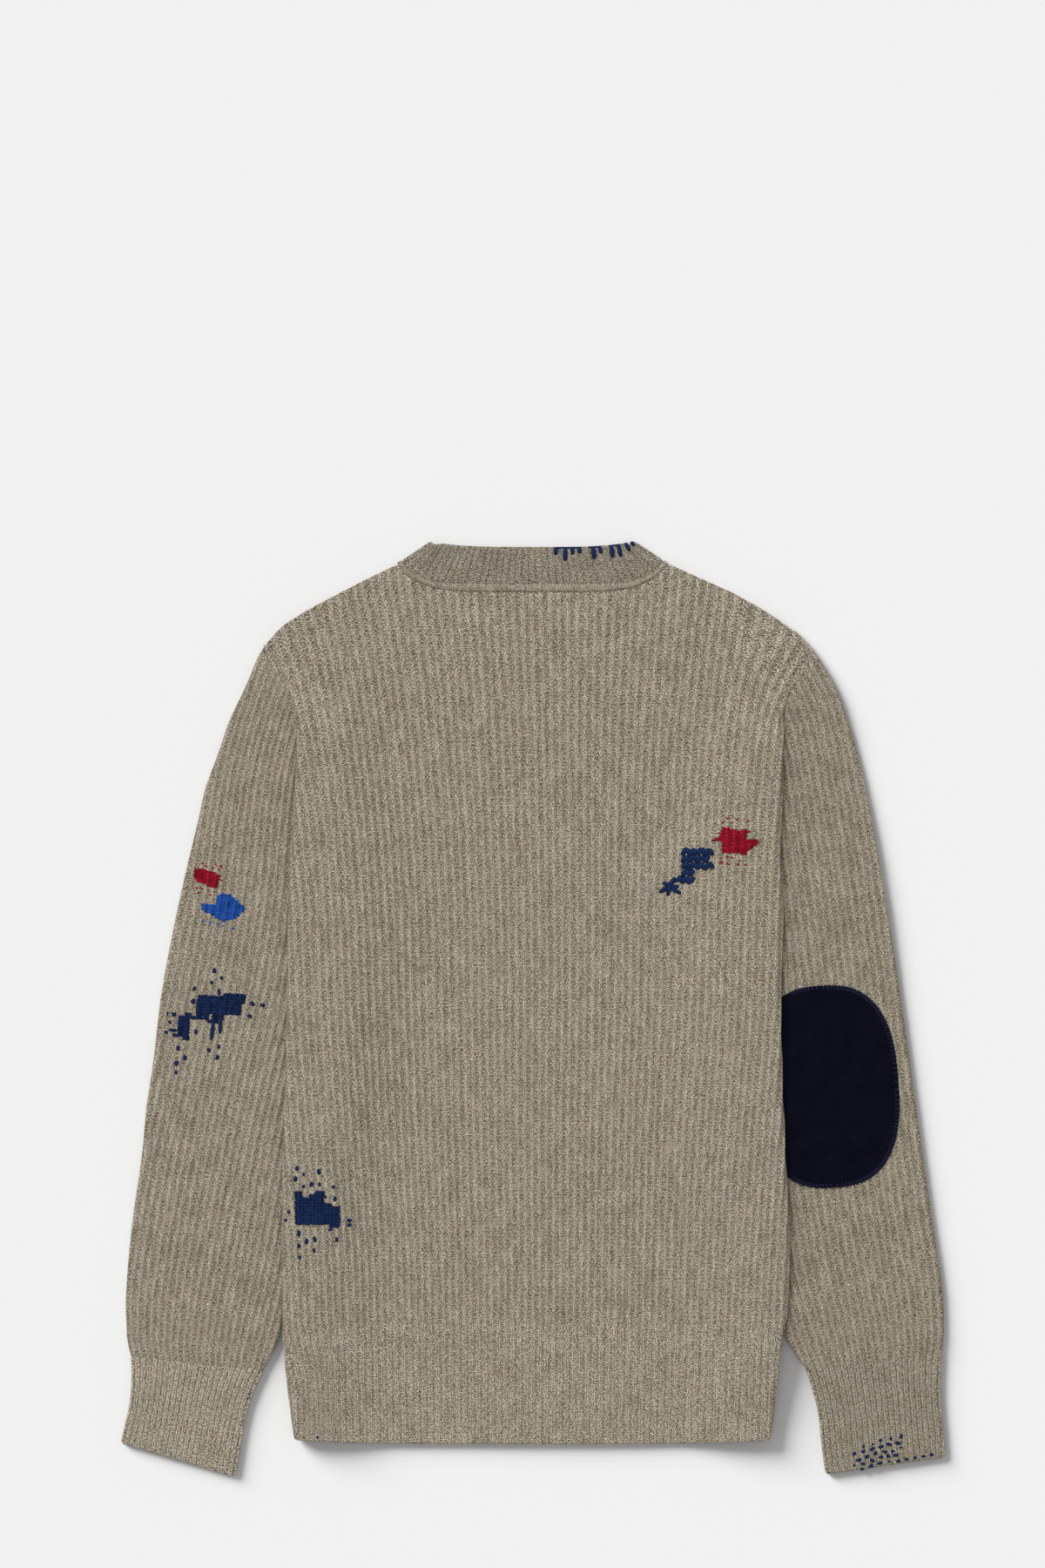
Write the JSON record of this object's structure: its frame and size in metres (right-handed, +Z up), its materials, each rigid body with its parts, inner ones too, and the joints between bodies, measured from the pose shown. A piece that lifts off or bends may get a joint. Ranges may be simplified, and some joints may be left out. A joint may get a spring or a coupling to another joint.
{
  "type": "darned wool sweater",
  "caption": "Ribbed wool pullover laid flat with its back up and its sides turned under, worn thin and mended with darns and an elbow patch, for dressing a floor, bed or table.",
  "frame": {"origin": "middle of the garment's box in plan, on the surface that it lies on", "axes": "+X to the right as it is seen from above, which is the wearer's right, as the back is up; +Y from the hem towards the neck; +Z up, out of the surface"},
  "size_m": [0.6246, 0.7084, 0.0178],
  "materials": {
    "wool": "heathered ribbed wool knit, worn matt",
    "rib_wool": "narrow ribbed wool knit, worn matt",
    "band_wool": "narrow ribbed wool knit, a little darker, matt",
    "patch_jersey": "fine cotton jersey, matt",
    "navy_yarn": "darning wool, matt",
    "red_yarn": "darning wool, matt",
    "blue_yarn": "darning wool, matt"
  },
  "bodies": {
    "root": {"back_panel": "wool", "front_panel": "wool", "back_hem_rib": "rib_wool", "front_hem_rib": "rib_wool", "left_sleeve": "wool", "right_sleeve": "wool", "left_cuff": "rib_wool", "right_cuff": "rib_wool", "neck_trim": "band_wool", "neckband": "band_wool", "elbow_patch": "patch_jersey"}
  },
  "joints": []
}
